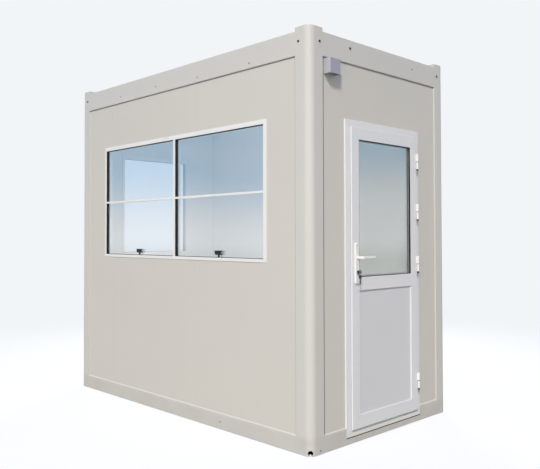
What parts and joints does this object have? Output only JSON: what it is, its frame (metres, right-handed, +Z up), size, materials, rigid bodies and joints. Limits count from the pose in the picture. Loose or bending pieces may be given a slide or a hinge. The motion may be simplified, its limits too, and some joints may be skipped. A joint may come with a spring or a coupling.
{
  "type": "security guard booth",
  "caption": "Rectangular security guard booth with a bolted steel frame, rounded corner posts, sandwich-panel walls, a divided front window, an end window and a part-glazed hinged door.",
  "frame": {"origin": "middle of the footprint, on the ground under the base", "axes": "+X along the long side towards the door end, +Y from the front window towards the plain back wall, +Z up"},
  "size_m": [2.8773, 1.5, 2.625],
  "materials": {
    "frame_steel": "satin",
    "joist_steel": "satin",
    "wall_panel": "satin",
    "floor_board": "matte",
    "ceiling_panel": "satin",
    "roof_sheet": "satin",
    "window_frame": "satin",
    "gasket": "matte",
    "window_glass": "clear",
    "catch": "satin",
    "door_frame": "satin",
    "door_leaf": "satin",
    "door_glass": "clear",
    "door_panel": "satin",
    "handle": "gloss",
    "lock": "satin",
    "hinge": "gloss",
    "hood": "satin"
  },
  "bodies": {
    "booth": {"back_wall": "wall_panel", "base_beam_back": "frame_steel", "base_beam_door_end": "frame_steel", "base_beam_far_end": "frame_steel", "base_beam_front": "frame_steel", "ceiling_panel": "ceiling_panel", "corner_feet": "frame_steel", "corner_heads": "frame_steel", "corner_post_back_door": "frame_steel", "corner_post_back_far": "frame_steel", "corner_post_front_door": "frame_steel", "corner_post_front_far": "frame_steel", "door_frame": "door_frame", "door_seal": "gasket", "door_sill": "door_frame", "door_wall_left": "wall_panel", "door_wall_over": "wall_panel", "door_wall_right": "wall_panel", "far_wall": "wall_panel", "far_window_frame": "window_frame", "far_window_gaskets": "gasket", "far_window_panes": "window_glass", "floor_board": "floor_board", "floor_joists": "joist_steel", "front_wall": "wall_panel", "front_window_frame": "window_frame", "front_window_gaskets": "gasket", "front_window_lower_panes": "window_glass", "front_window_upper_panes": "window_glass", "hinge_frame_halves": "hinge", "inlet_hood": "hood", "roof_sheet": "roof_sheet", "top_beam_back": "frame_steel", "top_beam_door_end": "frame_steel", "top_beam_far_end": "frame_steel", "top_beam_front": "frame_steel", "window_catches": "catch"},
    "door": {"door_leaf_frame": "door_leaf", "door_glass": "door_glass", "door_glass_gasket": "gasket", "door_lower_panel": "door_panel", "handle_plates": "handle", "lock_cylinder": "lock", "hinge_leaf_halves": "hinge"},
    "lever": {"door_lever": "handle"}
  },
  "joints": [
    {"name": "door_hinge", "type": "hinge", "parent": "booth", "child": "door", "pos_m": [1.424, 0.36, 1.1], "axis": [0, 0, 1], "range_deg": [0, 160]},
    {"name": "lever_turn", "type": "hinge", "parent": "door", "child": "lever", "pos_m": [1.415, -0.328, 1.19], "axis": [-1, 0, 0], "range_deg": [0, 40], "stiffness_Nm_per_rad": 1, "springref_deg": -20.05}
  ]
}
